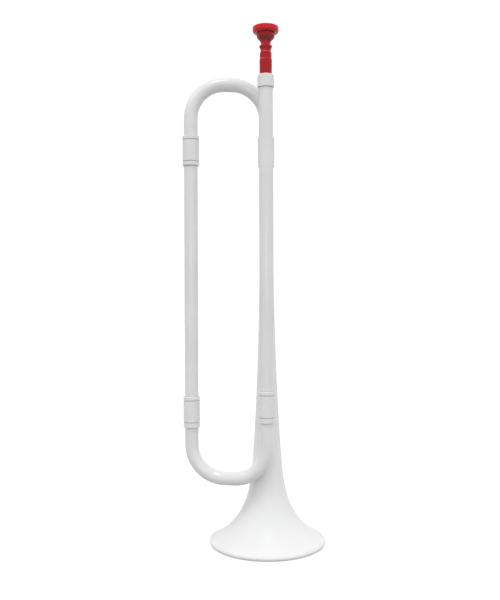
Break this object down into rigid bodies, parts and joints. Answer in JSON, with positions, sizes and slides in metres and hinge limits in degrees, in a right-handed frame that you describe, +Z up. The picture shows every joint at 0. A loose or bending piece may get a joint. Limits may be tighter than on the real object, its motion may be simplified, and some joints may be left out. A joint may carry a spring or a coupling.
{
  "type": "valveless bugle",
  "caption": "Slim valveless signal bugle in white plastic: one long loop of tube with ringed couplings, a narrow flared bell to stand on and a red cup mouthpiece that pulls out.",
  "frame": {"origin": "centre of the bell's mouth, on the plane that the bell's rim stands on", "axes": "+Z up the bell's axis, from its mouth to the upper bow; the leadpipe and mouthpiece are on the -Y side and the middle tube on the -X side"},
  "size_m": [0.1485, 0.122, 0.5354],
  "materials": {
    "white_plastic": "white moulded ABS, satin to gloss",
    "red_plastic": "red moulded ABS, gloss",
    "seal_rubber": "black nitrile rubber, matt"
  },
  "bodies": {
    "bugle": {"receiver_collar": "white_plastic", "leadpipe": "white_plastic", "middle_tube": "white_plastic", "upper_bow": "white_plastic", "bell": "white_plastic", "upper_brace": "white_plastic", "lower_brace": "white_plastic", "lower_front_sleeve": "white_plastic", "lower_front_bottom_ring": "white_plastic", "lower_front_top_ring": "white_plastic", "lower_front_bottom_seal": "seal_rubber", "lower_front_top_seal": "seal_rubber", "lower_left_sleeve": "white_plastic", "lower_left_bottom_ring": "white_plastic", "lower_left_top_ring": "white_plastic", "lower_left_bottom_seal": "seal_rubber", "lower_left_top_seal": "seal_rubber", "upper_left_sleeve": "white_plastic", "upper_left_bottom_ring": "white_plastic", "upper_left_top_ring": "white_plastic", "upper_left_bottom_seal": "seal_rubber", "upper_left_top_seal": "seal_rubber", "upper_rear_sleeve": "white_plastic", "upper_rear_bottom_ring": "white_plastic", "upper_rear_top_ring": "white_plastic", "upper_rear_bottom_seal": "seal_rubber", "upper_rear_top_seal": "seal_rubber"},
    "mouthpiece": {"mouthpiece": "red_plastic"},
    "tuning_bow": {"lower_bow": "white_plastic"}
  },
  "joints": [
    {"name": "mouthpiece_pull", "type": "slide", "parent": "bugle", "child": "mouthpiece", "axis": [0, 0, 1], "range_m": [0, 0.03]},
    {"name": "lower_bow_slide", "type": "slide", "parent": "bugle", "child": "tuning_bow", "axis": [0, 0, -1], "range_m": [0, 0.01]}
  ]
}
